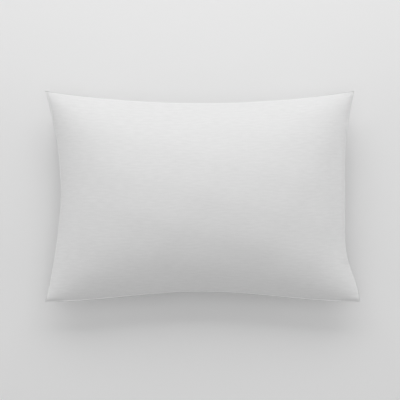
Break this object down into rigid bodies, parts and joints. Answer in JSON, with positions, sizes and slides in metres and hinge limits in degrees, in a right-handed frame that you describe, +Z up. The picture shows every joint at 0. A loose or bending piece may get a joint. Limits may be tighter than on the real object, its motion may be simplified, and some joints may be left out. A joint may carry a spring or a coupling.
{
  "type": "bed pillow",
  "caption": "Rectangular white bed pillow: a zipped cotton cover with knife-edge seams round an inner bag of fibre fill, with a blank care label.",
  "frame": {"origin": "middle of the pillow's bounding box in plan, on the surface that it lies on", "axes": "+X along the pillow towards the end with the zip, +Y across it towards the back edge, +Z up through the crown"},
  "size_m": [0.736, 0.496, 0.1752],
  "materials": {
    "cover_cotton": "smooth fine plain weave, matt with a faint sheen",
    "insert_ticking": "close woven ticking, matt",
    "fibre_fill": "loose crimped polyester fibre",
    "thread": "spun polyester thread",
    "zip_tape": "herringbone woven tape",
    "zip_coil": "moulded nylon monofilament",
    "zip_metal": "white enamel on a die-cast slider",
    "label_ribbon": "satin ribbon, blank"
  },
  "bodies": {
    "pillow": {"cover_top_panel": "cover_cotton", "cover_bottom_panel": "cover_cotton", "cover_seam_thread": "thread", "zip_tape_upper": "zip_tape", "zip_tape_lower": "zip_tape", "zip_stitches_upper": "thread", "zip_stitches_lower": "thread", "zip_coil_upper": "zip_coil", "zip_coil_lower": "zip_coil", "zip_top_stop_upper": "zip_metal", "zip_top_stop_lower": "zip_metal", "zip_bottom_stop": "zip_metal", "insert_top_panel": "insert_ticking", "insert_bottom_panel": "insert_ticking", "insert_seam_thread": "thread", "insert_closing_stitch": "thread", "fibre_fill": "fibre_fill", "care_label": "label_ribbon"},
    "slider": {"zip_slider": "zip_metal"},
    "pull": {"zip_pull": "zip_metal"}
  },
  "joints": [
    {"name": "zip_slide", "type": "slide", "parent": "pillow", "child": "slider", "axis": [0, 1, 0], "range_m": [0, 0.284], "deforming": ["zip_coil_upper", "zip_coil_lower"]},
    {"name": "pull_swing", "type": "hinge", "parent": "slider", "child": "pull", "pos_m": [0.33795, -0.1404, 0.078], "axis": [0, 0, -1], "range_deg": [0, 130]}
  ]
}
